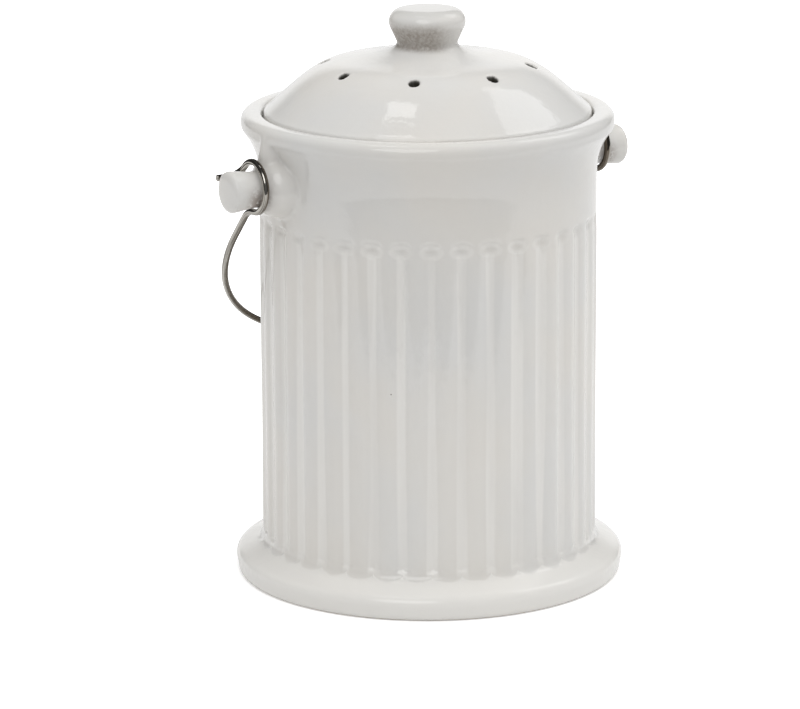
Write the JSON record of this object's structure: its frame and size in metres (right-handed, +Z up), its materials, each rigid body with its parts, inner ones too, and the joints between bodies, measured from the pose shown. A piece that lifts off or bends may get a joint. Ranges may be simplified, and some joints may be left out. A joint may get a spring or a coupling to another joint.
{
  "type": "ceramic compost caddy",
  "caption": "White glazed stoneware crock with a reeded wall, a lift-off vented lid with a knob, a wire bail on two lugs and a carbon filter held in the lid.",
  "frame": {"origin": "centre of the foot ring, on the surface that the crock stands on", "axes": "+Z up along the crock's axis; the two lugs lie along X; the bail hangs against the back of the crock, towards +Y"},
  "size_m": [0.2258, 0.1928, 0.283],
  "materials": {
    "crock_glaze": "glossy warm white glaze, bare on the foot ring",
    "lid_glaze": "glossy warm white glaze, bare on the seat",
    "bail_wire": "bright drawn stainless wire",
    "carbon_foam": "open carbon-loaded foam",
    "felt": "needled felt",
    "retainer_plastic": "satin white moulding"
  },
  "bodies": {
    "crock": {"crock": "crock_glaze"},
    "lid": {"lid": "lid_glaze"},
    "bail": {"bail_handle": "bail_wire"},
    "filter_set": {"carbon_filter": "carbon_foam", "felt_filter": "felt", "filter_retainer": "retainer_plastic"}
  },
  "joints": [
    {"name": "bail_swing", "type": "hinge", "parent": "crock", "child": "bail", "pos_m": [0, 0, 0.2035], "axis": [1, 0, 0], "range_deg": [0, 278]},
    {"name": "lid_lift", "type": "slide", "parent": "crock", "child": "lid", "axis": [0, 0, 1], "range_m": [0, 0.035]},
    {"name": "filter_pull", "type": "slide", "parent": "lid", "child": "filter_set", "axis": [0, 0, -1], "range_m": [0, 0.015]}
  ]
}
